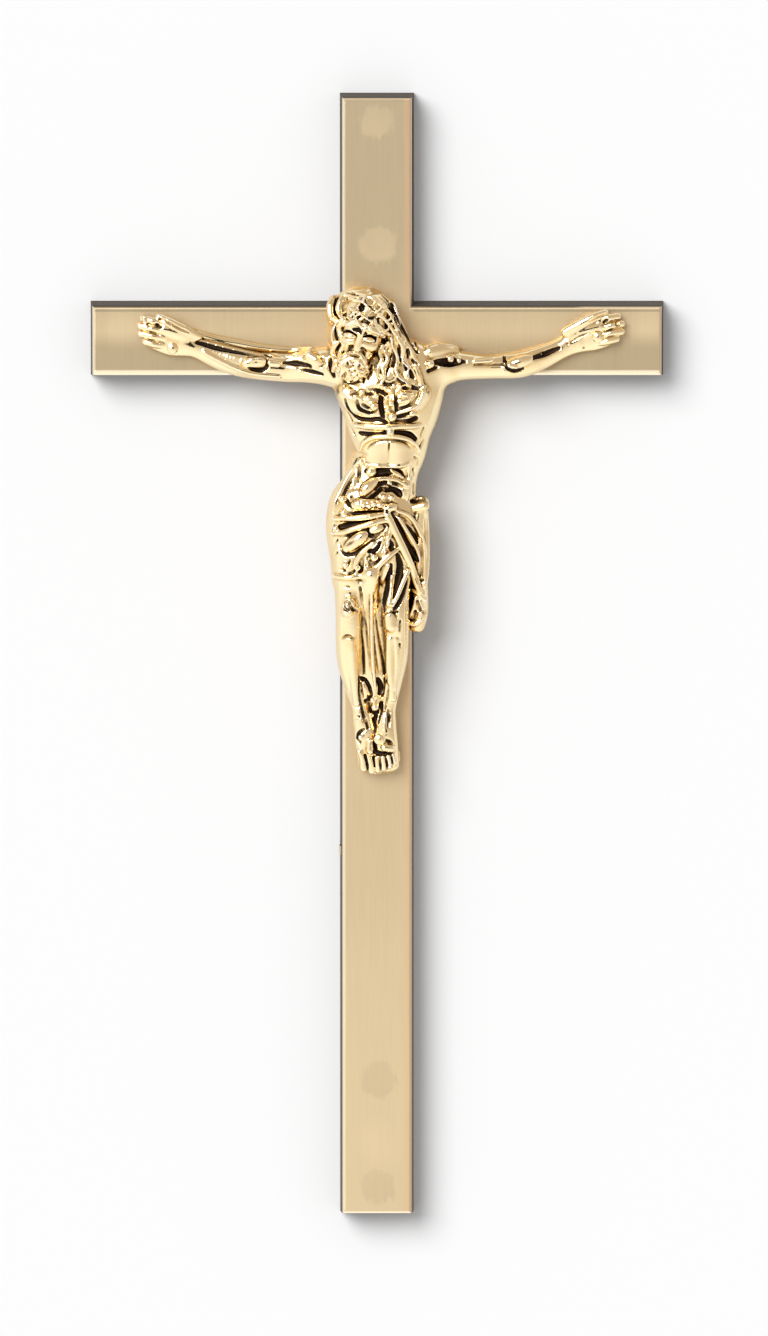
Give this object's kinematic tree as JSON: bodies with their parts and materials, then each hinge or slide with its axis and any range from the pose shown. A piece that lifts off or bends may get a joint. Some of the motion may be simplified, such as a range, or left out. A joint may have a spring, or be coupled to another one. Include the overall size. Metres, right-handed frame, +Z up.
{
  "type": "wall crucifix",
  "caption": "Hollow-backed metal cross in satin gold with a polished cast figure nailed to its face and a swinging hanging ring recessed in the back.",
  "frame": {"origin": "on the back plane that lies on the wall, behind the middle of the crossing", "axes": "+X across to the right as seen from the front, +Y from the front towards the wall, +Z up along the upright"},
  "size_m": [0.1036, 0.0183, 0.204],
  "materials": {
    "satin_gold": "satin gold plating with a fine vertical grain, dark and unpolished on the side walls",
    "polished_gold": "bright polished gold plating",
    "nail_gold": "bright polished gold plating",
    "back_sheet": "dark satin lacquer on steel sheet",
    "zinc_steel": "zinc-plated steel",
    "ring_steel": "brass-washed steel"
  },
  "bodies": {
    "cross": {"cross_shell": "satin_gold", "back_plate": "back_sheet", "plate_screws": "zinc_steel", "hanger_strap": "ring_steel", "strap_screw": "zinc_steel", "corpus": "polished_gold", "nail_hand_left": "nail_gold", "nail_hand_right": "nail_gold", "nail_feet": "nail_gold", "nail_clips": "zinc_steel"},
    "ring": {"hanger_ring": "ring_steel"}
  },
  "joints": [
    {"name": "ring_swing", "type": "hinge", "parent": "cross", "child": "ring", "pos_m": [0, -0.0019, 0.0317], "axis": [1, 0, 0], "range_deg": [-8, 180]}
  ]
}
